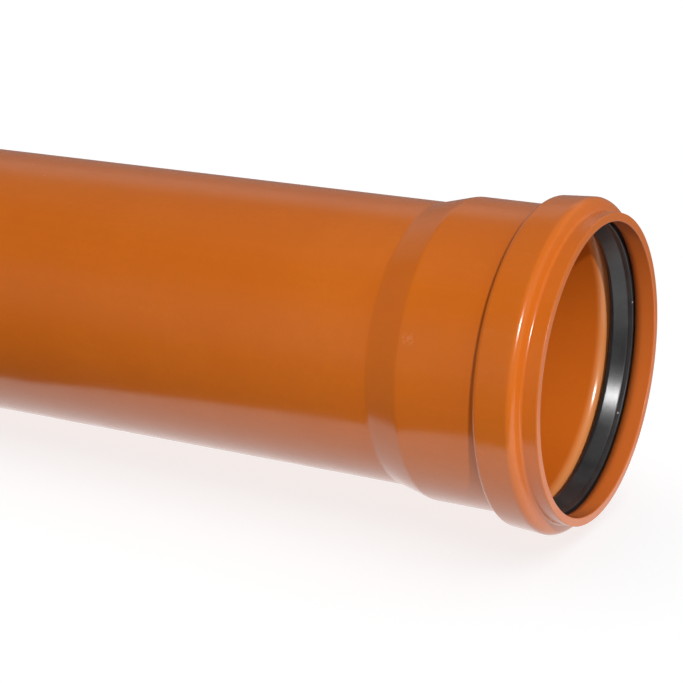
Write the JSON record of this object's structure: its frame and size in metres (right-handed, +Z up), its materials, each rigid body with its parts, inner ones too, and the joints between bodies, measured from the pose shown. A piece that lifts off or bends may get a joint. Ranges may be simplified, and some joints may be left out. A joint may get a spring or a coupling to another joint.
{
  "type": "sewer pipe",
  "caption": "Orange-brown plastic drain pipe with a plain spigot end, a socket with a raised bead round its seal groove, and a black rubber seal ring in the socket.",
  "frame": {"origin": "under the pipe's axis, half way along its whole length, at the level of the bead's lowest point", "axes": "+X along the pipe's axis from the spigot end to the socket mouth, +Z up; the axis is level and 92.37 mm above the origin"},
  "size_m": [0.585, 0.1848, 0.1847],
  "materials": {
    "pipe_plastic": "gloss",
    "seal_rubber": "satin"
  },
  "bodies": {
    "root": {"pipe": "pipe_plastic", "seal_ring": "seal_rubber"}
  },
  "joints": []
}
